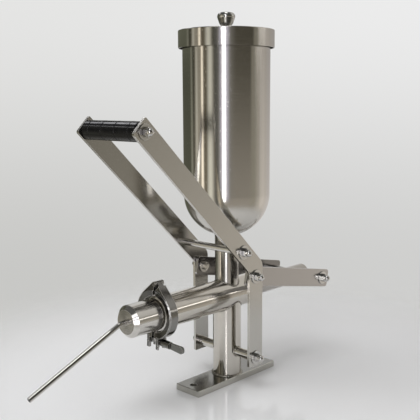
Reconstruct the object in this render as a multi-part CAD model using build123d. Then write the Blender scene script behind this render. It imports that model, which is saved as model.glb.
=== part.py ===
from build123d import *
import math
import os

os.makedirs("parts", exist_ok=True)

# All sizes in millimetres, angles in degrees. The origin is on the post axis at the underside
# of the base plate. X runs across the machine, -Y to the needle and +Z up.

# Base plate and post
base_width = 55.0
base_length = 204.0
base_thick = 11.0
base_hole_d = 13.0
base_hole_inset = 16.0
base_edge = 0.8
base_corner = 1.5
post_d = 50.8
tube_wall = 2.0
foot_weld = 2.5

# Barrel, with its joint plane in front of the post and its open end behind it
barrel_z = 158.0
barrel_d = 55.0
bore_d = 35.0
barrel_front = 167.5
barrel_rear = 62.0
barrel_edge = 1.5
port_d = 30.0

# Feed tube and hopper
feed_d = 42.4
feed_rise = 107.0
hopper_d = 150.8
hopper_wall = 1.5
hopper_height = 276.0
rim_reach = 4.6
rim_height = 8.0
rim_edge = 2.0

# Lid and knob
lid_play = 1.0
lid_wall = 1.5
lid_top = 2.0
lid_skirt = 29.5
lid_edge = 1.2
knob_height = 31.0
knob_d = 31.0
knob_foot_d = 13.0
knob_neck_d = 11.0
knob_neck_share = 0.13
knob_profile = [(0.31, 0.29), (0.44, 0.55), (0.494, 0.78), (0.4, 0.94), (0.2, 0.99)]
knob_screw_d = 5.0
knob_screw_head_d = 10.0
knob_screw_head = 3.0
knob_screw_grip = 14.0

# Nozzle cap and needle
cap_d = 52.8
cap_reach = 66.5
cap_bevel = 6.4
needle_d = 8.0
needle_bore = 6.0
needle_grip = 12.0
needle_lead = 10.3
needle_bend = 25.0
needle_fall = 23.5
needle_reach = 177.0

# Clamped joint between barrel and cap
flange_d = 64.0
flange_rim = 2.85
flange_taper = 20.0
gasket_thick = 1.6
clamp_wall = 9.5
clamp_width = 19.0
clamp_band = 15.8
clamp_step = 1.6
clamp_lip_width = 15.6
clamp_lip_share = 0.64
clamp_split = 6.0
clamp_turn = 3.5
knuckle_rise = 9.9
knuckle_d = 8.4
knuckle_tongue = 9.0
knuckle_gap = 0.7
hinge_pin_d = 4.0
lug_in = 8.2
lug_thick = 5.0
lug_drop = 16.5
lug_round = 1.6
bolt_drop = 4.5
bolt_d = 8.0
bolt_eye_d = 11.0
bolt_pin_d = 4.0
pin_proud = 0.8
wing_hub_d = 12.4
wing_hub = 15.0
wing_length = 50.0
wing_root = 8.0
wing_width = 12.0
wing_thick = 5.0
wing_end_share = 0.42
wing_root_round = 0.5

# Handle arms: an upright leg, then a bend towards the needle
handle_span = 137.2
bar_width = 34.0
bar_thick = 5.0
bar_corner = 2.0
pivot_z = 55.5
leg_end = 15.5
elbow_rise = 145.2
bend_rise = 161.2
bend_round = 17.0
arm_lean = 45.67
arm_reach = 357.5
arm_end_round = 4.0
spreader_reach = 45.0
grip_inset = 13.5

# Grip
grip_d = 30.5
grip_end_round = 2.5
groove_pitch = 31.5
groove_count = 4
groove_d = 2.4
groove_offset = 0.4

# Links and plunger
link_run = 205.0
link_pin_rise = 2.3
link_hole_rise = 0.9
link_front_end = 17.0
link_rear_end = 19.0
link_corner = 6.0
spacer_thick = 1.0
plunger_face = 17.5
plunger_tail = 18.0
plunger_edge = 1.0
slot_play_along = 1.5
slot_play_up = 5.2
slot_rise = 1.15
slot_corner = 4.0
seal_cord = 3.2
seal_first = 8.0
seal_pitch = 9.0
seal_count = 2

# Rods and fasteners
rod_d = 12.0
pivot_rod_d = 17.0
stud_d = 8.0
washer_d = 24.0
washer_thick = 2.0
nut_flats = 13.0
nut_hex = 6.5
nut_length = 15.0
nut_grip = 9.0
nut_bevel = 0.7
dome_d = 12.2
head_thick = 5.5

# Clearances
fit = 0.05
seat = 0.05
face_gap = 0.1
plunger_play = 0.3
part_gap = 0.3

# Derived sizes shared by several pieces
barrel_r = barrel_d / 2
bore_r = bore_d / 2
flange_r = flange_d / 2
clamp_r = flange_r + clamp_wall
shoulder_r = clamp_r - clamp_step
clamp_d = 2 * clamp_r
hopper_r = hopper_d / 2
feed_bore_r = feed_d / 2 - tube_wall
bowl_z = barrel_z + feed_rise + hopper_r
rim_z = bowl_z + hopper_height
half_bar = bar_width / 2
arm_out = handle_span / 2
arm_in = arm_out - bar_thick
link_out = arm_in - spacer_thick - 2 * face_gap
link_in = link_out - bar_thick
lean = math.radians(arm_lean)
bend_z = pivot_z + bend_rise
elbow = (0.0, pivot_z + elbow_rise)
link_pin_at = (link_run, barrel_z + link_pin_rise)
centred = (Align.CENTER, Align.CENTER, Align.CENTER)
from_foot = (Align.CENTER, Align.CENTER, Align.MIN)


def arm_point(reach):
    """A point (y, z) on the centre line of the leaning arm, measured from the bend."""
    return (-reach * math.sin(lean), bend_z + reach * math.cos(lean))


spreader_at = arm_point(spreader_reach)
grip_at = arm_point(arm_reach - grip_inset)


def along_x(x0, x1, at, d):
    return Pos(x0, at[0], at[1]) * Rot(0, 90, 0) * Cylinder(d / 2, x1 - x0, align=from_foot)


def along_y(y0, y1, z, d):
    return Pos(0, y0, z) * Rot(-90, 0, 0) * Cylinder(d / 2, y1 - y0, align=from_foot)


def along_z(z0, z1, d):
    return Pos(0, 0, z0) * Cylinder(d / 2, z1 - z0, align=from_foot)


def ring_x(x0, x1, at, d):
    """A washer round a stud, between two values of x."""
    return along_x(x0, x1, at, d) - along_x(x0, x1, at, stud_d + 2 * fit)


def turned(points):
    """A solid turned about the Z axis from (radius, height) points."""
    return revolve(Plane.XZ * make_face(Polyline(*points, close=True)), Axis.Z)


def block(x0, x1, y0, y1, z0, z1):
    box = Box(x1 - x0, y1 - y0, z1 - z0, align=centred)
    return Pos((x0 + x1) / 2, (y0 + y1) / 2, (z0 + z1) / 2) * box


def both_sides(shape, x, at):
    """Two copies of a shape built up from z = 0, pointing outwards at x and at -x."""
    near = Pos(x, at[0], at[1]) * Rot(0, 90, 0) * shape
    far = Pos(-x, at[0], at[1]) * Rot(0, -90, 0) * shape
    return [near, far]


def mirrored_pair(shape):
    return [shape, mirror(shape, about=Plane.YZ)]


def save(name, *shapes):
    solids = [solid for shape in shapes for solid in shape.solids()]
    export_step(solids[0] if len(solids) == 1 else Compound(solids), f"parts/{name}.step")


# Fasteners

def hexagon(height):
    """A hexagon bar end with its corners turned down at both faces."""
    corner = nut_flats / math.sqrt(3) + seat
    waist = nut_flats / 2 - seat
    outline = [(0, 0), (waist, 0), (corner, nut_bevel), (corner, height - nut_bevel),
               (waist, height), (0, height)]
    return extrude(RegularPolygon(nut_flats / 2, 6, major_radius=False), height) & turned(outline)


def cap_nut():
    """A dome nut standing on z = 0 with a blind hole for the stud."""
    dome_z = nut_length - dome_d / 2
    body = hexagon(nut_hex) + along_z(nut_hex / 2, dome_z, dome_d) + Pos(0, 0, dome_z) * Sphere(dome_d / 2)
    return body - along_z(0, nut_grip + part_gap, stud_d + 2 * fit)


def stud_rod(shoulder, nut_x, at, d):
    """A rod across the machine, shouldered down to a threaded end on each side."""
    reach = nut_x + nut_grip
    return along_x(-shoulder, shoulder, at, d) + along_x(-reach, reach, at, stud_d)


outer_washer_x = arm_out + face_gap
outer_nut_x = outer_washer_x + washer_thick
pin_washer_x = link_out + seat
pin_nut_x = pin_washer_x + washer_thick


def save_outer_fasteners(name, at, washer_x, nut_x):
    """The washer and dome nut on both ends of a rod."""
    washer = ring_x(washer_x, nut_x, at, washer_d)
    save(name + "_washers", *mirrored_pair(washer))
    save(name + "_cap_nuts", *both_sides(cap_nut(), nut_x, at))


# Base plate and post

hole_y = base_length / 2 - base_hole_inset
base = block(-base_width / 2, base_width / 2, -base_length / 2, base_length / 2, 0, base_thick)
base = fillet(base.edges().filter_by(Axis.Z), base_corner)
base = chamfer(base.faces().sort_by(Axis.Z)[-1].edges(), base_edge)
for y in (-hole_y, hole_y):
    base -= Pos(0, y, 0) * along_z(0, base_thick, base_hole_d)
save("base_plate", base)

post_r = post_d / 2
foot = [(post_r - tube_wall, base_thick), (post_r + foot_weld, base_thick),
        (post_r, base_thick + foot_weld), (post_r, barrel_z), (post_r - tube_wall, barrel_z)]
post = turned(foot) - along_y(-post_d, post_d, barrel_z, barrel_d + 2 * seat)
post -= along_x(-post_d, post_d, (0, pivot_z), pivot_rod_d + 2 * seat)
save("post", post)

save("pivot_rod", stud_rod(arm_in - face_gap, outer_nut_x, (0, pivot_z), pivot_rod_d))
save_outer_fasteners("pivot", (0, pivot_z), outer_washer_x, outer_nut_x)

# Barrel, feed tube and hopper

joint_half = gasket_thick / 2
barrel = along_y(-barrel_front + joint_half, barrel_rear, barrel_z, barrel_d)
barrel -= along_y(-barrel_front, barrel_rear + barrel_edge, barrel_z, bore_d)
barrel = chamfer(barrel.faces().sort_by(Axis.Y)[-1].edges(), barrel_edge)
barrel -= along_z(barrel_z, barrel_z + barrel_d, port_d)
save("barrel", barrel)

feed = along_z(barrel_z, bowl_z, feed_d) - along_z(barrel_z, bowl_z, 2 * feed_bore_r)
feed -= along_y(-feed_d, feed_d, barrel_z, barrel_d + 2 * seat)
feed -= Pos(0, 0, bowl_z) * Sphere(hopper_r + seat)
save("feed_tube", feed)


def bowl_form(r, top):
    return along_z(bowl_z, top, 2 * r) + Pos(0, 0, bowl_z) * Sphere(r)


hopper = bowl_form(hopper_r, rim_z) + along_z(rim_z - rim_height, rim_z, hopper_d + 2 * rim_reach)
hopper -= bowl_form(hopper_r - hopper_wall, rim_z + hopper_wall)
hopper -= along_z(barrel_z, bowl_z, 2 * feed_bore_r)
hopper = fillet(hopper.faces().sort_by(Axis.Z)[-1].edges().sort_by(SortBy.RADIUS)[-1], rim_edge)
save("hopper", hopper)

# Lid, knob and the screw that holds the knob

lid_r = hopper_r + rim_reach + lid_play + lid_wall
lid_z = rim_z + lid_top
lid = along_z(lid_z - lid_skirt, lid_z, 2 * lid_r)
lid = fillet(lid.faces().sort_by(Axis.Z)[-1].edges(), lid_edge)
lid -= along_z(lid_z - lid_skirt, rim_z, 2 * (lid_r - lid_wall))
lid -= along_z(rim_z, lid_z, knob_screw_d + 2 * seat)
save("lid", lid)

knob_neck_z = knob_height * knob_neck_share
knob_points = [(knob_d * across, knob_height * up) for across, up in knob_profile]
knob_side = Spline((knob_neck_d / 2, knob_neck_z), *knob_points, (0, knob_height),
                   tangents=((0, 1), (-1, 0)))
knob_base = Polyline((0, knob_height), (0, 0), (knob_foot_d / 2, 0), (knob_foot_d / 2, knob_neck_z / 2),
                     (knob_neck_d / 2, knob_neck_z))
knob = revolve(Plane.XZ * make_face([knob_side, knob_base]), Axis.Z)
knob -= along_z(0, knob_screw_grip + part_gap, knob_screw_d + 2 * fit)
save("lid_knob", Pos(0, 0, lid_z) * knob)

knob_screw = along_z(rim_z - knob_screw_head, rim_z, knob_screw_head_d)
knob_screw += along_z(rim_z - knob_screw_head, lid_z + knob_screw_grip, knob_screw_d)
save("knob_screw", knob_screw)

# Clamped joint: built about z with +z to the needle and +y up, then laid on the barrel axis

on_joint = Pos(0, -barrel_front, barrel_z) * Rot(90, 0, 0)
on_clamp = on_joint * Rot(0, 0, -clamp_turn)
taper = math.tan(math.radians(flange_taper))
neck_r = barrel_r + 2 * seat
lip_r = neck_r + clamp_lip_share * (flange_r - neck_r)


def flange_back(r):
    """Height of a flange's tapered back face over the joint plane at radius r."""
    return joint_half + flange_rim + max(0, flange_r - r) * taper


ferrule = [(barrel_r + seat, joint_half), (flange_r, joint_half), (flange_r, flange_back(flange_r)),
           (neck_r, flange_back(neck_r)), (barrel_r + seat, flange_back(neck_r))]
save("barrel_ferrule", on_joint * Rot(180, 0, 0) * turned(ferrule))

gasket_r = flange_r - part_gap
gasket = [(bore_r, -joint_half + seat), (gasket_r, -joint_half + seat), (gasket_r, joint_half - seat),
          (bore_r, joint_half - seat)]
save("clamp_gasket", on_joint * turned(gasket))

cap_r = cap_d / 2
needle_r = needle_d / 2
socket_z = cap_reach - needle_grip
cone_z = socket_z - (bore_r - needle_bore / 2)
cap = [(bore_r, joint_half), (flange_r, joint_half), (flange_r, flange_back(flange_r)),
       (cap_r, flange_back(cap_r)), (cap_r, cap_reach - cap_bevel), (cap_r - cap_bevel, cap_reach),
       (needle_r + seat, cap_reach), (needle_r + seat, socket_z), (needle_bore / 2, socket_z),
       (bore_r, cone_z)]
save("nozzle_cap", on_joint * turned(cap))

fall = math.radians(needle_fall)
tip_drop = (needle_reach - needle_lead) * math.tan(fall)
needle_path = FilletPolyline((0, 0, socket_z + seat), (0, 0, cap_reach + needle_lead),
                             (0, -tip_drop, cap_reach + needle_reach), radius=needle_bend)
needle_ring = Circle(needle_d / 2) - Circle(needle_bore / 2)
save("needle", on_joint * sweep(Pos(0, 0, socket_z + seat) * needle_ring, needle_path))

clamp_half = clamp_width / 2
groove_r = flange_r + part_gap
groove_half = flange_back(flange_r) + seat
lip_half = flange_back(lip_r) + seat
band_side = [(lip_r, lip_half), (lip_r, clamp_lip_width / 2), (shoulder_r, clamp_half),
             (clamp_r, clamp_band / 2)]
band = [(groove_r, -groove_half), (groove_r, groove_half)] + band_side
band += [(r, -z) for r, z in reversed(band_side)]
ring = turned(band)
knuckle_at = clamp_r + knuckle_rise
knuckle_r = knuckle_d / 2
bolt_y = -(clamp_r + bolt_drop)
lug_end = -(clamp_r + lug_drop)
lug_root = -(flange_r + clamp_wall / 2)
lug_out = lug_in + lug_thick
bolt_pin_x = -(lug_in + lug_out) / 2
wing_x = lug_out + part_gap
tongue_half = knuckle_tongue / 2
web_turn = math.acos((clamp_r - knuckle_r) / knuckle_at)
hinge_room = 2 * (knuckle_d + knuckle_gap)


def cross_pin(x, y, d, half):
    """A pin along the barrel direction, centred on the joint plane."""
    return Pos(x, y, 0) * Cylinder(d / 2, 2 * half)


def knuckle(side, z0, z1):
    """One hinge knuckle, with a web on the line that touches it and the ring; side is 1 near and -1 far."""
    across = side * math.sin(web_turn)
    foot = (clamp_r * across, clamp_r * math.cos(web_turn))
    tip = (knuckle_r * across, knuckle_at + knuckle_r * math.cos(web_turn))
    outline = [(0, 0), foot, tip, (0, knuckle_at)]
    web = Pos(0, 0, z0) * extrude(make_face(Polyline(*outline, close=True)), z1 - z0, dir=(0, 0, 1))
    barrel_form = Pos(0, knuckle_at, z0) * Cylinder(knuckle_r, z1 - z0, align=from_foot)
    return web - along_z(z0, z1, 2 * shoulder_r) + barrel_form


def lug(x0, x1, slot, slot_top):
    """A forked lug under the ring, open downwards."""
    plate = block(x0, x1, lug_end, lug_root, -clamp_half, clamp_half)
    plate = fillet(plate.faces().sort_by(Axis.Y)[0].edges().filter_by(Axis.X), lug_round)
    return plate - block(x0, x1, lug_end, slot_top, -slot / 2, slot / 2)


def half_ring(side):
    """Half of the ring, with a crown that runs up to the hinge and leaves room for its knuckles."""
    crown = knuckle(side, -clamp_band / 2, clamp_band / 2) - cross_pin(0, knuckle_at, hinge_room, clamp_half)
    cut = block(-clamp_d, clamp_split / 2, -clamp_d, clamp_d, -clamp_d, clamp_d)
    return ring + crown - (cut if side > 0 else mirror(cut, about=Plane.YZ))


hinge_hole = cross_pin(0, knuckle_at, hinge_pin_d + 2 * seat, clamp_d)
hub_gap = wing_hub_d / 2 + part_gap
swing_path = block(lug_in, lug_out, lug_end, lug_root, -hub_gap, hub_gap)
swing_path -= Pos(bolt_pin_x, bolt_y, 0) * Cylinder(lug_out - bolt_pin_x, clamp_d)
near_lug = lug(lug_in, lug_out, bolt_d + 2 * part_gap, bolt_y + bolt_d / 2 + part_gap) - swing_path
near_half = half_ring(1) + near_lug + knuckle(1, -tongue_half, tongue_half) - hinge_hole
save("clamp_half_near", on_clamp * near_half)

eye_width = bolt_d + part_gap
far_lug = lug(-lug_out, -lug_in, eye_width + 2 * part_gap, bolt_y + bolt_eye_d / 2 + part_gap)
far_lug -= cross_pin(bolt_pin_x, bolt_y, bolt_pin_d + 2 * seat, clamp_d)
far_half = half_ring(-1) + far_lug
for z0, z1 in ((-clamp_half, -tongue_half - knuckle_gap), (tongue_half + knuckle_gap, clamp_half)):
    far_half += knuckle(-1, z0, z1)
save("clamp_half_far", on_clamp * (far_half - hinge_hole))

save("clamp_hinge_pin", on_clamp * cross_pin(0, knuckle_at, hinge_pin_d, clamp_half + pin_proud))
save("clamp_bolt_pin", on_clamp * cross_pin(bolt_pin_x, bolt_y, bolt_pin_d, clamp_half + pin_proud))

at_bolt = Pos(0, bolt_y, 0) * Rot(0, 90, 0)
swing_bolt = Pos(bolt_pin_x, bolt_y, 0) * Cylinder(bolt_eye_d / 2, eye_width)
swing_bolt += at_bolt * along_z(bolt_pin_x, wing_x + wing_hub, bolt_d)
swing_bolt -= cross_pin(bolt_pin_x, bolt_y, bolt_pin_d + 2 * fit, clamp_d)
save("clamp_bolt", on_clamp * swing_bolt)

wing_end = wing_x + wing_length
hub_end = wing_x + wing_hub
hub_z = wing_x + wing_hub / 2
blade_line = [(hub_z, -wing_root / 2), (wing_end, -wing_width / 2), (wing_end, wing_width / 2),
              (hub_z, wing_root / 2)]
end_round = wing_width * wing_end_share
blade_rounds = [wing_root_round, end_round, end_round, wing_root_round]
blade = make_face(FilletPolyline(*blade_line, radius=blade_rounds, close=True))
wing_nut = at_bolt * along_z(wing_x, hub_end + wing_thick, wing_hub_d)
wing_nut += Pos(0, bolt_y, -wing_thick / 2) * extrude(blade, wing_thick, dir=(0, 0, 1))
wing_nut -= at_bolt * along_z(wing_x, hub_end + part_gap, bolt_d + 2 * fit)
save("clamp_wing_nut", on_clamp * wing_nut)

# Handle arms

end = arm_point(arm_reach)
across = (half_bar * math.cos(lean), half_bar * math.sin(lean))
inner = half_bar * math.tan(lean / 2)
outline = [(-half_bar, pivot_z - leg_end), (-half_bar, bend_z - inner),
           (end[0] - across[0], end[1] - across[1]), (end[0] + across[0], end[1] + across[1]),
           (half_bar, bend_z + inner), (half_bar, pivot_z - leg_end)]
corners = [bar_corner, bar_corner, arm_end_round, bar_corner, bend_round, bar_corner]
arm_face = Plane.YZ * make_face(FilletPolyline(*outline, radius=corners, close=True))
arm = Pos(arm_in, 0, 0) * extrude(arm_face, bar_thick, dir=(1, 0, 0))
for at in ((0, pivot_z), elbow, spreader_at, grip_at):
    arm -= along_x(0, handle_span, at, stud_d + 2 * fit)
save("arm_near", arm)
save("arm_far", mirror(arm, about=Plane.YZ))

# Spreader rod and grip between the arms

save("spreader_rod", stud_rod(arm_in - seat, outer_nut_x, spreader_at, rod_d))
save_outer_fasteners("spreader", spreader_at, outer_washer_x, outer_nut_x)

grip_half = arm_in - part_gap
grip = fillet(Cylinder(grip_d / 2, 2 * grip_half).edges(), grip_end_round)
for i in range(groove_count):
    z = (i - (groove_count - 1) / 2) * groove_pitch
    grip -= Pos(0, 0, z) * Torus(grip_d / 2 + groove_offset, groove_d / 2)
grip -= Cylinder(stud_d / 2 + seat, 2 * grip_half)
save("grip", Pos(0, grip_at[0], grip_at[1]) * Rot(0, 90, 0) * grip)
grip_rod_end = outer_nut_x + nut_grip
save("grip_rod", along_x(-grip_rod_end, grip_rod_end, grip_at, stud_d))
save_outer_fasteners("grip", grip_at, outer_washer_x, outer_nut_x)

# Elbow bolts: head inside the link, dome nut outside the arm

inner_washer_x = link_in - face_gap - washer_thick
head_x = inner_washer_x - head_thick
elbow_bolt = Pos(head_x, elbow[0], elbow[1]) * Rot(0, 90, 0) * hexagon(head_thick)
elbow_bolt += along_x(head_x, outer_nut_x + nut_grip, elbow, stud_d)
save("elbow_bolts", *mirrored_pair(elbow_bolt))
spacer = ring_x(link_out + face_gap, arm_in - face_gap, elbow, washer_d)
save("elbow_spacers", *mirrored_pair(spacer))
inner_washer = ring_x(inner_washer_x, inner_washer_x + washer_thick, elbow, washer_d)
save("elbow_inner_washers", *mirrored_pair(inner_washer))
save_outer_fasteners("elbow", elbow, outer_washer_x, outer_nut_x)

# Links from the elbow back to the pin through the plunger

run_y = link_pin_at[0] - elbow[0]
run_z = link_pin_at[1] - elbow[1]
link_length = math.hypot(run_y, run_z)
link_angle = math.degrees(math.atan2(run_z, run_y))
link_centre = ((link_length + link_rear_end - link_front_end) / 2, -link_hole_rise)
link_flat = RectangleRounded(link_length + link_front_end + link_rear_end, bar_width, link_corner)
link_face = Plane.YZ * Pos(elbow[0], elbow[1]) * Rot(0, 0, link_angle) * Pos(*link_centre) * link_flat
link = Pos(link_in, 0, 0) * extrude(link_face, bar_thick, dir=(1, 0, 0))
for at in (elbow, link_pin_at):
    link -= along_x(0, handle_span, at, stud_d + 2 * fit)
save("link_near", link)
save("link_far", mirror(link, about=Plane.YZ))

save("link_pin", stud_rod(link_in - seat, pin_nut_x, link_pin_at, rod_d))
save_outer_fasteners("link_pin", link_pin_at, pin_washer_x, pin_nut_x)

# Plunger with its seals; the pin passes through a tall slot in the rear end

plunger_r = bore_r - plunger_play
plunger = along_y(plunger_face, link_run + plunger_tail, barrel_z, 2 * plunger_r)
plunger = chamfer(plunger.edges().filter_by(GeomType.CIRCLE), plunger_edge)
slot = RectangleRounded(rod_d + 2 * slot_play_along, rod_d + 2 * slot_play_up, slot_corner)
slot_face = Plane.YZ * Pos(link_run, barrel_z + slot_rise) * slot
plunger -= extrude(slot_face, plunger_r, both=True)
seal_out = bore_r - fit
seal_mid = seal_out - seal_cord / 2
seals = []
for i in range(seal_count):
    y = plunger_face + seal_first + i * seal_pitch
    groove = along_y(y - seal_cord / 2 - seat, y + seal_cord / 2 + seat, barrel_z, bore_d)
    groove -= along_y(y - seal_cord, y + seal_cord, barrel_z, 2 * (seal_out - seal_cord - seat))
    plunger -= groove
    seals.append(Pos(0, y, barrel_z) * Rot(90, 0, 0) * Torus(seal_mid, seal_cord / 2))
save("plunger", plunger)
save("plunger_seals", *seals)
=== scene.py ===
import math

import bmesh
import bpy
from mathutils import Matrix, Vector


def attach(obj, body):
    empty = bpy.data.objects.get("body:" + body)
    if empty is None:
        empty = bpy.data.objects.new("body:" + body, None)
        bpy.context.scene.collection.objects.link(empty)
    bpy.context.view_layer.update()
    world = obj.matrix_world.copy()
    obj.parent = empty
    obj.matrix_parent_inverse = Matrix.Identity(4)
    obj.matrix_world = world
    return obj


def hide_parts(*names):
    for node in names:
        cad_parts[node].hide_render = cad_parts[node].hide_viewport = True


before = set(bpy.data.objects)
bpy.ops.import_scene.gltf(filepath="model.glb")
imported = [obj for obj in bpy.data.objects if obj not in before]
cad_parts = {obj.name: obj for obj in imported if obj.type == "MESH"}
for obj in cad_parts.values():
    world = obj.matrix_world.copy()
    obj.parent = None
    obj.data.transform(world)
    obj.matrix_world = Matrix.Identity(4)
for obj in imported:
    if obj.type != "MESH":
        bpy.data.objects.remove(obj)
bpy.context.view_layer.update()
scene = bpy.context.scene
scene.view_settings.view_transform = "Standard"

# Sizes of the machine that the welds and threads follow, in metres
barrel_z = 0.158
barrel_r = 0.0275
post_r = 0.0254
base_top = 0.011
feed_r = 0.0212
bowl_z = 0.3404
bowl_r = 0.0754
pivot_z = 0.0555
pivot_r = 0.0085
cap_face_y = -0.234
needle_r = 0.004
joint_y = -0.1675
clamp_turn = math.radians(3.5)
bolt_drop = 0.046
bolt_r = 0.004
bolt_eye_x = -0.0107
bolt_eye_r = 0.0055
bolt_eye_hole_r = 0.00205
bolt_eye_half = 0.00415
bolt_end_x = 0.0285
bolt_neck = 0.001
eye_hole_break = 0.0004
eye_rim_round = 0.001
thread_pitch = 0.00125
thread_depth = 0.0006
thread_gap = 0.00005
arm_lean = math.radians(45.67)

# The studio: the camera's place and angles
camera_at = (0.8467, -0.9183, 0.5000)
camera_azimuth = math.radians(44.028)
camera_pitch = math.radians(8.658)
camera_roll = math.radians(-0.346)
camera_lens = 61.27
# The backdrop near the floor and high up, and the share of it that its left side keeps, a painted shade
backdrop_low = (0.62, 0.62, 0.61, 1.0)
backdrop_high = (0.84, 0.84, 0.84, 1.0)
backdrop_left_shade = (0.93, 0.93, 0.92, 1.0)
# The unlit room at eye level, lower down, overhead and under the floor
room_level = (0.078, 0.071, 0.051, 1.0)
room_low = (0.335, 0.308, 0.268, 1.0)
room_high = (0.17, 0.17, 0.165, 1.0)
room_below = (0.38, 0.355, 0.31, 1.0)
# The floor, the distances between which it fades out, and its polished patch from rim to middle
floor_r = 0.85
floor_at = (0.0, 0.03, 0.0)
floor_pale = ((0.82, 0.825, 0.84, 1.0), (0.86, 0.865, 0.88, 1.0))
floor_fade = (0.35, 0.78)
polished_at = (0.125, -0.16, 0.0)
polished_r = (0.31, 0.09)
polished_share = 0.09


# Node sheets

def put(tree, kind, sockets=None, **settings):
    """Adds a node; sockets are values, or outputs of other nodes to link."""
    made = tree.nodes.new(kind)
    for key, value in settings.items():
        setattr(made, key, value)
    for key, value in (sockets or {}).items():
        if isinstance(value, bpy.types.NodeSocket):
            tree.links.new(value, made.inputs[key])
        else:
            made.inputs[key].default_value = value
    return made


def maths(tree, operation, a, b=0.0, clamp=False):
    return put(tree, "ShaderNodeMath", {0: a, 1: b}, operation=operation, use_clamp=clamp).outputs[0]


def times(tree, a, b):
    return maths(tree, "MULTIPLY", a, b)


def vector_dot(tree, a, b):
    return put(tree, "ShaderNodeVectorMath", {0: a, 1: b}, operation="DOT_PRODUCT").outputs["Value"]


def ramp(tree, value, low, high, to_low=0.0, to_high=1.0):
    """A smooth step of a value between two limits."""
    sockets = {"Value": value, "From Min": low, "From Max": high, "To Min": to_low, "To Max": to_high}
    return put(tree, "ShaderNodeMapRange", sockets, interpolation_type="SMOOTHSTEP").outputs[0]


def spread(tree, value, low, high):
    """A value from 0 to 1 laid out between two others."""
    return put(tree, "ShaderNodeMapRange", {"Value": value, "To Min": low, "To Max": high}).outputs[0]


def tint(tree, mask, a, b, blend="MIX"):
    """Two colours mixed by a mask."""
    made = put(tree, "ShaderNodeMix", data_type="RGBA", blend_type=blend)
    for index, value in ((0, mask), (6, a), (7, b)):
        if isinstance(value, bpy.types.NodeSocket):
            tree.links.new(value, made.inputs[index])
        else:
            made.inputs[index].default_value = value
    return made.outputs[2]


def lay_over(tree, under, mask, share, colour):
    """A colour laid over another where a mask is, at a share of its strength."""
    return tint(tree, times(tree, mask, share), under, colour)


def noise(tree, place, scale, detail=2.0, roughness=0.5, distortion=0.0):
    sockets = {"Vector": place, "Scale": scale, "Detail": detail, "Roughness": roughness,
               "Distortion": distortion}
    return put(tree, "ShaderNodeTexNoise", sockets).outputs["Fac"]


def new_group(name, inputs, outputs):
    """A shader node group; inputs and outputs are (name, kind, value) and (name, kind)."""
    tree = bpy.data.node_groups.new(name, "ShaderNodeTree")
    for label, kind, value in inputs:
        tree.interface.new_socket(label, in_out="INPUT", socket_type=kind).default_value = value
    for label, kind in outputs:
        tree.interface.new_socket(label, in_out="OUTPUT", socket_type=kind)
    return tree, tree.nodes.new("NodeGroupInput").outputs, tree.nodes.new("NodeGroupOutput").inputs


def place_group(tree, group, sockets):
    return put(tree, "ShaderNodeGroup", sockets, node_tree=group).outputs


FLOAT, VECTOR = "NodeSocketFloat", "NodeSocketVector"


def make_brushed_grain():
    """Polishing lines: Run gives the lines per metre along each axis, so the long way has few."""
    tree, given, out = new_group(
        "brushed_grain",
        [("Place", VECTOR, (0, 0, 0)), ("Run", VECTOR, (1, 1, 1))],
        [("Height", FLOAT), ("Tone", FLOAT)])
    lines = put(tree, "ShaderNodeVectorMath", {0: given["Place"], 1: given["Run"]}, operation="MULTIPLY")
    lines = lines.outputs[0]
    fine = noise(tree, lines, 1.0, 3.0, 0.65)
    broad = noise(tree, lines, 0.23, 2.0, 0.5)
    tree.links.new(fine, out["Height"])
    tree.links.new(maths(tree, "ADD", times(tree, fine, 0.55), times(tree, broad, 0.45)), out["Tone"])
    return tree


def make_handling_marks():
    """Wiped smears and thin stray scratches left by use."""
    tree, given, out = new_group(
        "handling_marks",
        [("Place", VECTOR, (0, 0, 0)), ("Size", FLOAT, 30.0)],
        [("Smear", FLOAT), ("Scratch", FLOAT)])
    cloud = noise(tree, given["Place"], given["Size"], 4.0, 0.6, 0.8)
    tree.links.new(ramp(tree, cloud, 0.38, 0.72), out["Smear"])
    aslant = {"Vector": given["Place"], "Axis": (0.3, 0.5, 0.8), "Angle": 0.9}
    aslant = put(tree, "ShaderNodeVectorRotate", aslant).outputs[0]
    drawn = put(tree, "ShaderNodeVectorMath", {0: aslant, 1: (900.0, 45.0, 70.0)}, operation="MULTIPLY")
    line = noise(tree, drawn.outputs[0], 1.0, 1.0, 0.4)
    patch = ramp(tree, noise(tree, given["Place"], 55.0, 1.0), 0.45, 0.6)
    tree.links.new(times(tree, ramp(tree, line, 0.69, 0.76), patch), out["Scratch"])
    return tree


def make_edge_wear_and_highlight():
    """Corners rubbed bright, and a painted highlight along edges: the rounded normal leaves the true one
    only near an edge.
    """
    tree, given, out = new_group(
        "edge_wear_and_highlight",
        [("Place", VECTOR, (0, 0, 0)), ("Width", FLOAT, 0.0008)],
        [("Edge", FLOAT)])
    rounded = put(tree, "ShaderNodeBevel", {"Radius": given["Width"]}, samples=4).outputs[0]
    flat = put(tree, "ShaderNodeNewGeometry").outputs["Normal"]
    meet = vector_dot(tree, rounded, flat)
    corner = ramp(tree, maths(tree, "SUBTRACT", 1.0, meet), 0.02, 0.12)
    worn_or_highlit = spread(tree, noise(tree, given["Place"], 45.0, 2.0), 0.70, 1.05)
    tree.links.new(maths(tree, "MULTIPLY", corner, worn_or_highlit, True), out["Edge"])
    return tree


def make_painted_corner_shade():
    """Painted shade darkening corners and joints, where ambient occlusion finds them hidden."""
    tree, given, out = new_group(
        "painted_corner_shade",
        [("Place", VECTOR, (0, 0, 0)), ("Reach", FLOAT, 0.006)],
        [("PaintedShade", FLOAT)])
    open_air = put(tree, "ShaderNodeAmbientOcclusion", {"Distance": given["Reach"]}, samples=6)
    hidden = ramp(tree, open_air.outputs["AO"], 0.80, 0.25)
    patchy = spread(tree, noise(tree, given["Place"], 180.0, 3.0), 0.6, 1.0)
    tree.links.new(maths(tree, "MULTIPLY", hidden, patchy, True), out["PaintedShade"])
    return tree


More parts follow.
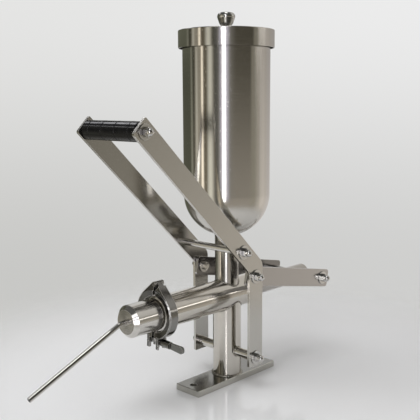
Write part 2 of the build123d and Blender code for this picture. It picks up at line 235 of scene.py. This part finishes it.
def make_sheet_pits():
    """Sparse shallow dimples left by rolling and polishing the sheet."""
    tree, given, out = new_group(
        "sheet_pits",
        [("Place", VECTOR, (0, 0, 0)), ("Pits", FLOAT, 320.0)],
        [("Depth", FLOAT)])
    cells = put(tree, "ShaderNodeTexVoronoi", {"Vector": given["Place"], "Scale": given["Pits"]}).outputs
    chosen = ramp(tree, put(tree, "ShaderNodeSeparateColor", {0: cells["Color"]}).outputs[0], 0.80, 0.84)
    dimple = ramp(tree, cells["Distance"], 0.30, 0.0)
    tree.links.new(times(tree, chosen, dimple), out["Depth"])
    return tree


def make_lathe_rings():
    """Distance from a turned piece's axis and the way along it, so that tool marks run in rings."""
    tree, given, out = new_group(
        "lathe_rings",
        [("Place", VECTOR, (0, 0, 0)), ("Centre", VECTOR, (0, 0, 0)), ("Axis", VECTOR, (0, 0, 1))],
        [("Rings", VECTOR)])
    off = put(tree, "ShaderNodeVectorMath", {0: given["Place"], 1: given["Centre"]}, operation="SUBTRACT")
    off = off.outputs[0]
    along = vector_dot(tree, off, given["Axis"])
    across = put(tree, "ShaderNodeVectorMath", {0: off, 1: given["Axis"]}, operation="CROSS_PRODUCT")
    radius = put(tree, "ShaderNodeVectorMath", {0: across.outputs[0]}, operation="LENGTH").outputs["Value"]
    rings = put(tree, "ShaderNodeCombineXYZ", {"X": radius, "Y": along}).outputs[0]
    tree.links.new(rings, out["Rings"])
    return tree


def make_painted_shade_side():
    """Masks the faces that look one way, which get painted shade."""
    tree, given, out = new_group(
        "painted_shade_side",
        [("Facing", VECTOR, (0, 0, 1)), ("Way", VECTOR, (0, 0, 1))],
        [("Side", FLOAT)])
    tree.links.new(ramp(tree, vector_dot(tree, given["Facing"], given["Way"]), 0.72, 0.86), out["Side"])
    return tree


brushed_grain = make_brushed_grain()
handling_marks = make_handling_marks()
edge_wear_and_highlight = make_edge_wear_and_highlight()
painted_corner_shade = make_painted_corner_shade()
sheet_pits = make_sheet_pits()
lathe_rings = make_lathe_rings()
painted_shade_side = make_painted_shade_side()


# Finishes

# What smears leave of a steel's own colour, what the painted shade in corners leaves of it, and the bright
# of rubbed and painted highlit corners
smear_share = 0.82
painted_shade_share = 0.16
rubbed_and_highlit_edge = (0.86, 0.85, 0.83, 1.0)
# Roughness that each effect adds where it is strongest
scratch_rough = 0.06
corner_shade_rough = 0.10
edge_rough = 0.22
grain_rough = 0.08
# A scratch's depth against the grain's, and the cells per metre that hold the sheet's pits
scratch_depth = 0.4
pit_cells = 320.0


def start_material(name):
    made = bpy.data.materials.new(name)
    made.use_nodes = True
    tree = made.node_tree
    tree.nodes.clear()
    shader = put(tree, "ShaderNodeBsdfPrincipled")
    surface = put(tree, "ShaderNodeOutputMaterial")
    tree.links.new(shader.outputs[0], surface.inputs["Surface"])
    place = put(tree, "ShaderNodeTexCoord").outputs["Object"]
    return made, tree, shader, place


def shape_skin(tree, shader, height, depth):
    """Fine relief, depth metres high."""
    bump = put(tree, "ShaderNodeBump", {"Height": height, "Distance": depth, "Strength": 1.0})
    tree.links.new(bump.outputs[0], shader.inputs["Normal"])


def steel(name, colour, rough, run, depth, tone, smear, marks, edge=0.35, edge_width=0.0008, stretch=0.0,
          about=None, lean=0.0, painted_shade=0.55, reach=0.006, pits=0.0, shade_way=None, shade_share=1.0,
          turned=None):
    """Stainless steel.

    run gives the grain's lines per metre, depth its height in metres, and tone how far it lightens and
    darkens the colour. smear and marks are the strength and the number per metre of the wiped smears.
    edge is how far corners are lightened, as rubbed wear and as a painted highlight. stretch draws the
    gloss out round the axis about, and lean turns the grain. painted_shade is the strength of the painted
    shade in corners within reach. Faces that look shade_way get painted shade, and keep shade_share of the
    colour. Turned pieces give the lathe's centre and axis.
    """
    made, tree, shader, place = start_material(name)
    shader.inputs["Metallic"].default_value = 1.0
    shader.inputs["Anisotropic"].default_value = stretch
    shader.inputs["Anisotropic Rotation"].default_value = 0.25
    if about:
        turn = put(tree, "ShaderNodeTangent", direction_type="RADIAL", axis=about).outputs[0]
        tree.links.new(turn, shader.inputs["Tangent"])
    laid = place
    if lean:
        leant = {"Vector": place, "Angle": lean}
        laid = put(tree, "ShaderNodeVectorRotate", leant, rotation_type="X_AXIS").outputs[0]
    if turned:
        centre, axis = turned
        laid = place_group(tree, lathe_rings, {"Place": place, "Centre": centre, "Axis": axis})["Rings"]
    grain = place_group(tree, brushed_grain, {"Place": laid, "Run": run})
    hand = place_group(tree, handling_marks, {"Place": place, "Size": marks})
    worn_or_highlit = place_group(tree, edge_wear_and_highlight, {"Place": place, "Width": edge_width})
    corner_shade_mask = place_group(tree, painted_corner_shade, {"Place": place, "Reach": reach})
    dark = [c * (1.0 - tone) for c in colour] + [1.0]
    light = [min(1.0, c * (1.0 + tone)) for c in colour] + [1.0]
    body = tint(tree, grain["Tone"], dark, light)
    # Faces that look shade_way get painted shade, a darker copy of their colour
    if shade_way:
        facing = put(tree, "ShaderNodeTexCoord").outputs["Normal"]
        side = place_group(tree, painted_shade_side, {"Facing": facing, "Way": shade_way})["Side"]
        shaded_body = tint(tree, 1.0, body, [shade_share] * 3 + [1.0], "MULTIPLY")
        body = tint(tree, side, body, shaded_body)
    body = lay_over(tree, body, hand["Smear"], smear * 2, [c * smear_share for c in colour] + [1.0])
    # Painted shade in corners and along joints darkens the colour
    body = lay_over(tree, body, corner_shade_mask["PaintedShade"], painted_shade, [c * painted_shade_share for c in colour] + [1.0])
    # Corners lightened, partly as rubbed wear and partly as a painted highlight
    body = lay_over(tree, body, worn_or_highlit["Edge"], edge, rubbed_and_highlit_edge)
    tree.links.new(body, shader.inputs["Base Color"])
    for mask, share in ((hand["Smear"], smear), (hand["Scratch"], scratch_rough),
                        (corner_shade_mask["PaintedShade"], corner_shade_rough), (worn_or_highlit["Edge"], edge * edge_rough)):
        rough = maths(tree, "ADD", rough, times(tree, mask, share))
    uneven = times(tree, maths(tree, "SUBTRACT", grain["Tone"], 0.5), grain_rough)
    tree.links.new(maths(tree, "ADD", rough, uneven, True), shader.inputs["Roughness"])
    relief = maths(tree, "SUBTRACT", grain["Height"], times(tree, hand["Scratch"], scratch_depth))
    if pits:
        dents = place_group(tree, sheet_pits, {"Place": place, "Pits": pit_cells})
        relief = maths(tree, "SUBTRACT", relief, times(tree, dents["Depth"], pits))
    shape_skin(tree, shader, relief, depth)
    return made


# Lines per metre along X, Y and Z, and for turned pieces outwards and along the axis
ROUND_UPRIGHT = (60.0, 60.0, 1400.0)
ROUND_LEVEL = (60.0, 1400.0, 60.0)
ROUND_ACROSS = (1400.0, 60.0, 60.0)
LONG_LEVEL = (1500.0, 45.0, 1500.0)
TURNED = (1400.0, 1400.0, 1.0)


def even(lines):
    """The same number of lines per metre every way, for cast and polished pieces."""
    return (lines, lines, lines)


finish_of = {}


def finish(material, *nodes):
    for name in nodes:
        finish_of[name] = material


finish(steel("hopper_sheet_satin", (0.63, 0.61, 0.57), rough=0.15, run=ROUND_UPRIGHT, depth=0.000006,
             tone=0.05, smear=0.02, marks=22.0, stretch=0.8, about="Z", painted_shade=0.85, pits=14.0),
       "hopper", "lid")
finish(steel("upright_tube_polish", (0.64, 0.61, 0.56), rough=0.10, run=ROUND_UPRIGHT, depth=0.000005,
             tone=0.06, smear=0.03, marks=40.0, stretch=0.6, about="Z"),
       "post")
finish(steel("feed_tube_satin", (0.54, 0.525, 0.50), rough=0.17, run=ROUND_UPRIGHT, depth=0.0000015,
             tone=0.06, smear=0.04, marks=40.0, stretch=0.3, about="Z"),
       "feed_tube")
finish(steel("barrel_tube_polish", (0.62, 0.59, 0.54), rough=0.15, run=ROUND_LEVEL, depth=0.000005,
             tone=0.08, smear=0.03, marks=40.0, stretch=0.6, about="Y", painted_shade=0.3),
       "barrel", "barrel_ferrule")
finish(steel("cap_turned_steel", (0.64, 0.62, 0.585), rough=0.15, run=TURNED, depth=0.000006,
             tone=0.16, smear=0.03, marks=60.0, stretch=0.7, about="Y", edge=0.8, edge_width=0.0012,
             painted_shade=0.15, turned=((0.0, 0.0, barrel_z), (0.0, 1.0, 0.0))),
       "nozzle_cap")
# The inward faces of the arms and links get painted shade
for side_name, inwards in (("near", (-1.0, 0.0, 0.0)), ("far", (1.0, 0.0, 0.0))):
    finish(steel("arm_flat_brushed_" + side_name, (0.555, 0.54, 0.505), rough=0.16, run=LONG_LEVEL,
                 depth=0.000003, tone=0.04, smear=0.015, marks=25.0, edge=0.7, edge_width=0.0011,
                 lean=arm_lean - math.pi / 2, shade_way=inwards, shade_share=0.78),
           "arm_" + side_name)
    finish(steel("link_flat_brushed_" + side_name, (0.462, 0.447, 0.434), rough=0.16, run=LONG_LEVEL,
                 depth=0.000003, tone=0.04, smear=0.015, marks=25.0, edge=0.7, edge_width=0.0011,
                 shade_way=inwards, shade_share=0.55),
           "link_" + side_name)
# The base plate's top gets painted shade
finish(steel("base_bar_satin", (0.54, 0.53, 0.49), rough=0.16, run=LONG_LEVEL, depth=0.000006,
             tone=0.10, smear=0.04, marks=35.0, edge=0.8, edge_width=0.0010,
             shade_way=(0.0, 0.0, 1.0), shade_share=0.43),
       "base_plate")
# The clamp's front faces get painted shade
finish(steel("clamp_cast_steel", (0.255, 0.25, 0.237), rough=0.14, run=even(200.0), depth=0.000004,
             tone=0.10, smear=0.04, marks=80.0, edge=1.0, edge_width=0.0015,
             shade_way=(0.0, -1.0, 0.0), shade_share=0.5),
       "clamp_half_near", "clamp_half_far", "clamp_hinge_pin", "clamp_bolt_pin")
finish(steel("wing_cast_steel", (0.175, 0.175, 0.163), rough=0.20, run=even(260.0), depth=0.00001,
             tone=0.14, smear=0.06, marks=90.0, edge=0.8, edge_width=0.0009, painted_shade=0.95, reach=0.014),
       "clamp_bolt", "clamp_wing_nut")
finish(steel("cross_rod_ground", (0.64, 0.62, 0.58), rough=0.12, run=ROUND_ACROSS, depth=0.000004,
             tone=0.06, smear=0.03, marks=60.0, stretch=0.4, about="X"),
       "pivot_rod", "spreader_rod", "grip_rod", "link_pin", "elbow_bolts")
finish(steel("needle_tube_polish", (0.51, 0.495, 0.47), rough=0.08, run=ROUND_LEVEL, depth=0.000003,
             tone=0.06, smear=0.03, marks=60.0),
       "needle")
# The plunger's colour is darkened as painted shade, since it sits in shade under the links
finish(steel("plunger_bar_shaded_polish", (0.45, 0.425, 0.395), rough=0.10, run=ROUND_LEVEL, depth=0.000003,
             tone=0.05, smear=0.03, marks=40.0, stretch=0.4, about="Y"),
       "plunger")
finish(steel("dome_nut_bright", (0.62, 0.61, 0.59), rough=0.06, run=even(300.0), depth=0.000001,
             tone=0.05, smear=0.02, marks=120.0, edge=0.6, edge_width=0.0006, painted_shade=1.0, reach=0.010),
       "pivot_washers", "pivot_cap_nuts", "grip_washers", "grip_cap_nuts", "spreader_washers",
       "spreader_cap_nuts", "elbow_washers", "elbow_inner_washers", "elbow_spacers", "elbow_cap_nuts",
       "link_pin_washers", "link_pin_cap_nuts", "knob_screw")
finish(steel("knob_turned_bright", (0.52, 0.515, 0.49), rough=0.06, run=TURNED, depth=0.000003,
             tone=0.05, smear=0.03, marks=90.0, stretch=0.3, about="Z",
             turned=((0.0, 0.0, 0.0), (0.0, 0.0, 1.0))),
       "lid_knob")
weld_steel = steel("weld_bead_steel", (0.40, 0.38, 0.34), rough=0.24, run=even(400.0), depth=0.00001,
                   tone=0.20, smear=0.08, marks=160.0, edge=0.2)


def grip_black():
    """Glossy moulded plastic with a faint orange peel and dulled patches where it is held."""
    made, tree, shader, place = start_material("grip_moulded_black")
    shader.inputs["Specular IOR Level"].default_value = 0.36
    hand = place_group(tree, handling_marks, {"Place": place, "Size": 45.0})
    worn_or_highlit = place_group(tree, edge_wear_and_highlight, {"Place": place, "Width": 0.0006})
    tone = noise(tree, place, 220.0, 3.0, 0.6)
    body = tint(tree, tone, (0.004, 0.004, 0.005, 1), (0.009, 0.009, 0.010, 1))
    body = lay_over(tree, body, worn_or_highlit["Edge"], 0.12, (0.05, 0.05, 0.05, 1))
    tree.links.new(body, shader.inputs["Base Color"])
    rough = maths(tree, "ADD", 0.13, times(tree, hand["Smear"], 0.10))
    rough = maths(tree, "ADD", rough, times(tree, hand["Scratch"], 0.15), True)
    tree.links.new(rough, shader.inputs["Roughness"])
    peel = noise(tree, place, 700.0, 2.0)
    peel = maths(tree, "SUBTRACT", peel, times(tree, hand["Scratch"], 0.5))
    shape_skin(tree, shader, peel, 0.000006)
    return made


def seal_silicone():
    """Milky food grade silicone, slightly dusty."""
    made, tree, shader, place = start_material("seal_milky_silicone")
    hand = place_group(tree, handling_marks, {"Place": place, "Size": 90.0})
    tone = noise(tree, place, 160.0, 3.0, 0.6)
    body = tint(tree, tone, (0.66, 0.65, 0.61, 1), (0.78, 0.77, 0.73, 1))
    body = lay_over(tree, body, hand["Smear"], 0.25, (0.55, 0.53, 0.48, 1))
    tree.links.new(body, shader.inputs["Base Color"])
    tree.links.new(spread(tree, hand["Smear"], 0.42, 0.6), shader.inputs["Roughness"])
    shape_skin(tree, shader, noise(tree, place, 900.0, 2.0), 0.00003)
    return made


finish(grip_black(), "grip")
finish(seal_silicone(), "clamp_gasket", "plunger_seals")

for node_name, node_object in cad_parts.items():
    node_object.data.materials.clear()
    node_object.data.materials.append(finish_of[node_name])


# Broken edges on the sawn, cast and turned pieces

same_point = 0.000002
flat_within = math.radians(0.3)
corner_from = math.radians(32)


def break_edges(node_name, width):
    """Rounds a piece's sharp corners, after its skin is closed and its flat faces are whole."""
    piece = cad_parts[node_name]
    closed = piece.modifiers.new("closed_skin", "WELD")
    closed.merge_threshold = same_point
    flat = piece.modifiers.new("whole_faces", "DECIMATE")
    flat.decimate_type = "DISSOLVE"
    flat.angle_limit = flat_within
    bevel = piece.modifiers.new("broken_edges", "BEVEL")
    bevel.width = width
    bevel.segments = 2
    bevel.limit_method = "ANGLE"
    bevel.angle_limit = corner_from
    bevel.use_clamp_overlap = True
    smooth = piece.modifiers.new("even_shading", "WEIGHTED_NORMAL")
    smooth.keep_sharp = True


# Width of the broken edge in metres, and the pieces that have it
edge_breaks = {
    0.0004: ("pivot_cap_nuts", "grip_cap_nuts", "spreader_cap_nuts", "elbow_cap_nuts", "link_pin_cap_nuts",
             "pivot_washers", "grip_washers", "spreader_washers", "elbow_washers", "link_pin_washers"),
    0.0006: ("arm_near", "arm_far", "link_near", "link_far"),
    0.0009: ("base_plate", "clamp_half_near", "clamp_half_far", "clamp_wing_nut"),
}
for edge_width, names in edge_breaks.items():
    for name in names:
        break_edges(name, edge_width)


# Weld beads and the bolt's thread

def add_piece(name, work, body, material):
    """Turns finished mesh work into a piece that rides on a body."""
    mesh = bpy.data.meshes.new(name)
    work.to_mesh(mesh)
    work.free()
    for face in mesh.polygons:
        face.use_smooth = True
    mesh.materials.append(material)
    piece = bpy.data.objects.new(name, mesh)
    scene.collection.objects.link(piece)
    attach(piece, body)
    return piece


# A bead's section: its radius between drops, the swell of a drop and how far its rim curves back, as shares
bead_sides = 12
bead_low = 0.86
drop_swell = 0.20
drop_lag = 0.25
# How finely a bead and its path are followed; no path runs along the last of these
steps_per_drop = 6
fewest_drops = 8
measure_steps = 240
look_ahead = 0.002
never_along = Vector((0.31, 0.52, 0.80))
# The foot's bead lies in the corner, a little off the post and the base
foot_lift = 0.0006


def round_point(r, share):
    """The two sides of a point at a share of the way round a circle."""
    return r * math.cos(2 * math.pi * share), r * math.sin(2 * math.pi * share)


def join_rings(work, rings):
    """Faces between each ring of points and the next."""
    for near, far in zip(rings, rings[1:]):
        for j in range(len(near)):
            k = (j + 1) % len(near)
            work.faces.new((near[j], near[k], far[k], far[j]))


def weld_bead(name, path, r, pitch):
    """A closed bead in overlapping drops; path gives the point at a share of the way round."""
    stops = [path(i / measure_steps) for i in range(measure_steps + 1)]
    length = sum((b - a).length for a, b in zip(stops, stops[1:]))
    drops = max(fewest_drops, round(length / pitch))
    steps = drops * steps_per_drop
    work = bmesh.new()
    rings = []
    for i in range(steps):
        share = i / steps
        at = path(share)
        along = (path(share + look_ahead) - path(share - look_ahead)).normalized()
        side = along.cross(never_along).normalized()
        up = side.cross(along)
        ring = []
        for j in range(bead_sides):
            turn = 2 * math.pi * j / bead_sides
            drop = (share * drops + drop_lag * math.cos(turn)) % 1.0
            swell = math.sqrt(max(0.0, 1 - (2 * drop - 1) ** 2))
            reach = r * (bead_low + drop_swell * swell)
            ring.append(work.verts.new(at + reach * (math.cos(turn) * side + math.sin(turn) * up)))
        rings.append(ring)
    join_rings(work, rings + rings[:1])
    bmesh.ops.recalc_face_normals(work, faces=work.faces)
    add_piece(name, work, "frame", weld_steel)


def round_z(r, z):
    return lambda share: Vector((*round_point(r, share), z))


def saddle(r, side):
    """Where an upright tube meets the top or the underside of the barrel."""
    def path(share):
        x, y = round_point(r, share)
        return Vector((x, y, barrel_z + side * math.sqrt(barrel_r ** 2 - x * x)))
    return path


def rod_through_post(side):
    def path(share):
        y, z = round_point(pivot_r, share)
        return Vector((side * math.sqrt(post_r ** 2 - y * y), y, pivot_z + z))
    return path


def round_needle(share):
    x, z = round_point(needle_r, share)
    return Vector((x, cap_face_y, barrel_z + z))


bowl_foot_z = bowl_z - math.sqrt(bowl_r ** 2 - feed_r ** 2)
weld_bead("weld_post_foot", round_z(post_r + foot_lift, base_top + foot_lift), r=0.0021, pitch=0.0032)
weld_bead("weld_post_barrel", saddle(post_r, -1), r=0.0015, pitch=0.0026)
weld_bead("weld_feed_barrel", saddle(feed_r, 1), r=0.0014, pitch=0.0024)
weld_bead("weld_feed_hopper", round_z(feed_r, bowl_foot_z), r=0.0014, pitch=0.0024)
weld_bead("weld_pivot_near", rod_through_post(1), r=0.0013, pitch=0.0022)
weld_bead("weld_pivot_far", rod_through_post(-1), r=0.0013, pitch=0.0022)
weld_bead("weld_needle_root", round_needle, r=0.0009, pitch=0.0015)


def swing_bolt():
    """The clamp's eye bolt with its thread cut as a true helix."""
    on_clamp = (Matrix.Translation((0, joint_y, barrel_z)) @ Matrix.Rotation(math.pi / 2, 4, "X")
                @ Matrix.Rotation(-clamp_turn, 4, "Z"))
    work = bmesh.new()
    around, per_turn, eye_sides = 32, 8, 40
    rows = round((bolt_end_x - bolt_eye_x) / thread_pitch * per_turn)
    rings = []
    for i in range(rows + 1):
        x = bolt_eye_x + (bolt_end_x - bolt_eye_x) * i / rows
        taper = min(1.0, (bolt_end_x - x) / thread_pitch)
        plain = x < bolt_eye_x + bolt_eye_r + bolt_neck
        ring = []
        for j in range(around):
            share = j / around
            groove = 0.0 if plain else abs(2 * ((x / thread_pitch - share) % 1.0) - 1)
            r = bolt_r - thread_gap - thread_depth * (groove * taper + 1 - taper)
            y, z = round_point(r, share)
            ring.append(work.verts.new((x, -bolt_drop + y, z)))
        rings.append(ring)
    join_rings(work, rings)
    work.faces.new(rings[0][::-1])
    work.faces.new(rings[-1])
    outline = [(bolt_eye_hole_r, -bolt_eye_half + eye_hole_break),
               (bolt_eye_hole_r + eye_hole_break, -bolt_eye_half),
               (bolt_eye_r - 0.8 * eye_rim_round, -bolt_eye_half),
               (bolt_eye_r - 0.2 * eye_rim_round, -bolt_eye_half + 0.3 * eye_rim_round),
               (bolt_eye_r, -bolt_eye_half + eye_rim_round)]
    outline += [(r, -z) for r, z in reversed(outline)]
    eye = []
    for j in range(eye_sides):
        places = [(*round_point(r, j / eye_sides), z) for r, z in outline]
        eye.append([work.verts.new((bolt_eye_x + x, -bolt_drop + y, z)) for x, y, z in places])
    join_rings(work, eye + eye[:1])
    bmesh.ops.recalc_face_normals(work, faces=work.faces)
    work.transform(on_clamp)
    piece = add_piece("clamp_bolt_threaded", work, "swing_bolt", finish_of["clamp_bolt"])
    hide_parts("clamp_bolt")


swing_bolt()


# Floor, light and camera

def lay_floor():
    """A pale satin floor, polished in front of the machine, that fades out into the backdrop."""
    work = bmesh.new()
    bmesh.ops.create_circle(work, cap_ends=True, radius=floor_r, segments=96)
    mesh = bpy.data.meshes.new("floor")
    work.to_mesh(mesh)
    work.free()
    floor = bpy.data.objects.new("floor", mesh)
    scene.collection.objects.link(floor)
    floor.location = floor_at
    made, tree, shader, place = start_material("floor_pale_gloss")
    shader.inputs["Specular IOR Level"].default_value = 0.5
    cloud = noise(tree, place, 3.0, 2.0)
    tree.links.new(tint(tree, cloud, *floor_pale), shader.inputs["Base Color"])
    satin = spread(tree, noise(tree, place, 9.0, 3.0), 0.50, 0.58)
    off = put(tree, "ShaderNodeVectorMath", {0: place, 1: polished_at}, operation="DISTANCE")
    # Fine grit breaks up the rims of the polish and of the fade
    grit = spread(tree, noise(tree, place, 900.0, 2.0), -0.2, 0.2)
    rubbed = ramp(tree, maths(tree, "ADD", off.outputs["Value"], grit), *polished_r)
    satin = times(tree, satin, spread(tree, rubbed, 1.0, polished_share))
    tree.links.new(satin, shader.inputs["Roughness"])
    away = put(tree, "ShaderNodeVectorMath", {0: place}, operation="LENGTH").outputs["Value"]
    seen = ramp(tree, maths(tree, "ADD", away, grit), *floor_fade, 1.0, 0.0)
    tree.links.new(seen, shader.inputs["Alpha"])
    mesh.materials.append(made)


def make_soft_box():
    """How far a direction lies inside a soft lit panel, by its angle round and its height."""
    tree, given, out = new_group(
        "soft_box",
        [("Round", FLOAT, 0.0), ("Height", FLOAT, 0.0), ("Centre", FLOAT, 0.0), ("Half", FLOAT, 0.1),
         ("Soft", FLOAT, 0.05), ("Low", FLOAT, -0.6), ("High", FLOAT, 0.6), ("Blur", FLOAT, 0.08)],
        [("Lit", FLOAT)])
    off = maths(tree, "SUBTRACT", given["Round"], given["Centre"])
    off = put(tree, "ShaderNodeMath", {0: off, 1: math.pi, 2: -math.pi}, operation="WRAP").outputs[0]
    off = maths(tree, "ABSOLUTE", off)
    side = ramp(tree, off, maths(tree, "ADD", given["Half"], given["Soft"]),
                maths(tree, "SUBTRACT", given["Half"], given["Soft"]))
    top = ramp(tree, given["Height"], maths(tree, "ADD", given["High"], given["Blur"]),
               maths(tree, "SUBTRACT", given["High"], given["Blur"]))
    foot = ramp(tree, given["Height"], maths(tree, "SUBTRACT", given["Low"], given["Blur"]),
                maths(tree, "ADD", given["Low"], given["Blur"]))
    tree.links.new(times(tree, times(tree, side, top), foot), out["Lit"])
    return tree


# Boards and lamps: the angle round the machine from the camera to the right, half width and softness in
# degrees, the sines of the lowest and highest elevation with their blur, and the colour
boards = [
    ("far_left_dark", -140, 34, 4, -1.2, 0.5, 0.1, (0.105, 0.107, 0.08)),
    ("far_left_high", -140, 34, 4, 0.07, 0.30, 0.03, (0.22, 0.225, 0.17)),
    ("left_line", -104, 3.4, 2, -1.2, 0.5, 0.1, (0.30, 0.30, 0.24)),
    ("left_gap", -96, 3, 2, -1.2, 0.5, 0.1, (0.09, 0.088, 0.065)),
    ("left_grey", -81, 9, 3, -1.2, 0.5, 0.1, (0.41, 0.375, 0.305)),
    ("left_light", -85, 3, 3, -1.2, 0.5, 0.1, (0.70, 0.68, 0.585)),
    ("left_warm_strip", -67, 2.9, 2.5, -1.2, 0.5, 0.1, (1.80, 1.63, 1.36)),
    ("left_brown", -57, 4.5, 3, -1.2, 0.5, 0.1, (0.175, 0.15, 0.105)),
    ("left_pale", -44, 6.5, 5.5, -1.2, 0.5, 0.1, (0.90, 0.88, 0.77)),
    ("left_shade", -27, 5, 4, -1.2, 0.3, 0.1, (0.12, 0.12, 0.105)),
    ("right_tan", 122, 56, 4, -1.2, 0.72, 0.1, (0.32, 0.30, 0.25)),
    ("right_far", 150, 26, 8, -1.2, 0.72, 0.08, (0.56, 0.53, 0.51)),
    ("right_rose", 111, 17, 20, -1.2, 0.72, 0.1, (0.69, 0.645, 0.60)),
    ("right_high", 136, 52, 6, 0.28, 0.82, 0.10, (0.95, 0.93, 0.89)),
]
lamps = [
    ("key_halo", -3, 13, 15, -0.24, 0.66, 0.04, (0.29, 0.28, 0.265)),
    ("key_glow", -6.9, 9.8, 6.5, -0.24, 0.66, 0.04, (0.74, 0.72, 0.86)),
    ("key_strip", -7.6, 3.2, 2.2, -0.24, 0.13, 0.03, (7.0, 7.0, 7.0)),
    ("key_low", -7.6, 3.0, 1.6, 0.26, 0.38, 0.02, (9.0, 9.0, 9.0)),
    ("key_top", -7.6, 3.2, 2.2, 0.46, 0.62, 0.03, (4.0, 4.0, 4.0)),
    ("front_lamp", -22, 8, 3, 0.44, 0.64, 0.03, (2.4, 2.4, 2.4)),
    ("right_lamp", 92, 12, 5, 0.14, 0.20, 0.02, (3.0, 2.9, 2.8)),
    ("far_lamp", -144, 11, 3, 0.58, 0.68, 0.02, (3.6, 3.6, 3.7)),
    ("left_lamp", -107, 5, 3, 0.47, 0.52, 0.02, (3.0, 3.0, 3.0)),
    ("top_lamp", 0, 180, 1, 0.982, 1.2, 0.006, (4.2, 4.2, 4.2)),
]


def light_studio():
    """A dim room with lit boards and lamps round the machine, and a pale backdrop behind it."""
    world = bpy.data.worlds.new("studio")
    scene.world = world
    world.use_nodes = True
    tree = world.node_tree
    tree.nodes.clear()
    way = put(tree, "ShaderNodeTexCoord").outputs["Generated"]
    to_right = (math.cos(camera_azimuth), math.sin(camera_azimuth), 0.0)
    to_camera = (math.sin(camera_azimuth), -math.cos(camera_azimuth), 0.0)
    across = vector_dot(tree, way, to_right)
    ahead = vector_dot(tree, way, to_camera)
    turn = maths(tree, "ARCTAN2", across, ahead)
    height = put(tree, "ShaderNodeSeparateXYZ", {0: way}).outputs["Z"]
    soft_box = make_soft_box()

    def lit(centre, half, soft, low, high, blur):
        sockets = {"Round": turn, "Height": height, "Centre": math.radians(centre),
                   "Half": math.radians(half), "Soft": math.radians(soft), "Low": low, "High": high,
                   "Blur": blur}
        return place_group(tree, soft_box, sockets)["Lit"]

    def hang(tone, panels):
        for _, *panel, colour in panels:
            tone = tint(tree, lit(*panel), tone, list(colour) + [1.0])
        return tone

    tone = tint(tree, ramp(tree, height, 0.08, -0.14), room_level, room_low)
    tone = tint(tree, ramp(tree, height, 0.3, 0.6), tone, room_high)
    tone = hang(tone, boards)
    shade = put(tree, "ShaderNodeMapRange", {"Value": height, "From Min": -0.2, "From Max": 0.09,
                                             "To Min": 1.2, "To Max": 0.72}).outputs[0]
    tone = tint(tree, 1.0, tone, shade, "MULTIPLY")
    tone = tint(tree, ramp(tree, height, -0.3, -0.8), tone, room_below)
    tone = hang(tone, lamps)
    rays = put(tree, "ShaderNodeLightPath").outputs
    # Metal mirrors the backdrop only straight behind the machine
    mirrored = maths(tree, "MAXIMUM", rays["Is Glossy Ray"], rays["Is Transmission Ray"])
    mirrored = times(tree, mirrored, lit(180, 10, 8, -1.2, 0.55, 0.1))
    pale = tint(tree, ramp(tree, height, -0.25, 0.15), backdrop_low, backdrop_high)
    shaded_left_backdrop = tint(tree, 1.0, pale, backdrop_left_shade, "MULTIPLY")
    pale = tint(tree, ramp(tree, across, -0.3, 0.3), shaded_left_backdrop, pale)
    shown = tint(tree, maths(tree, "MAXIMUM", rays["Is Camera Ray"], mirrored), tone, pale)
    light = put(tree, "ShaderNodeBackground", {"Color": shown, "Strength": 1.0})
    surface = put(tree, "ShaderNodeOutputWorld")
    tree.links.new(light.outputs[0], surface.inputs["Surface"])


def hang_lamp():
    """One wide soft lamp over the machine, which metal doesn't mirror."""
    data = bpy.data.lights.new("overhead_lamp", "AREA")
    data.shape = "RECTANGLE"
    data.size = 1.6
    data.size_y = 0.9
    data.energy = 21.0
    lamp = bpy.data.objects.new("overhead_lamp", data)
    scene.collection.objects.link(lamp)
    lamp.location = (-0.15, -0.68, 1.9)
    lamp.visible_camera = False
    lamp.visible_glossy = False


def place_camera():
    """The camera that took the photograph, fitted to the machine's outlines."""
    data = bpy.data.cameras.new("camera")
    data.lens = camera_lens
    data.sensor_width = 36.0
    data.clip_start = 0.01
    camera = bpy.data.objects.new("camera", data)
    scene.collection.objects.link(camera)
    a, e = camera_azimuth, camera_pitch
    ahead = Vector((-math.sin(a) * math.cos(e), math.cos(a) * math.cos(e), -math.sin(e)))
    right = Vector((math.cos(a), math.sin(a), 0))
    up = right.cross(ahead)
    right, up = (right * math.cos(camera_roll) + up * math.sin(camera_roll),
                 up * math.cos(camera_roll) - right * math.sin(camera_roll))
    turned = Matrix((right, up, -ahead)).transposed().to_4x4()
    camera.matrix_world = Matrix.Translation(camera_at) @ turned
    scene.camera = camera


lay_floor()
light_studio()
hang_lamp()
place_camera()
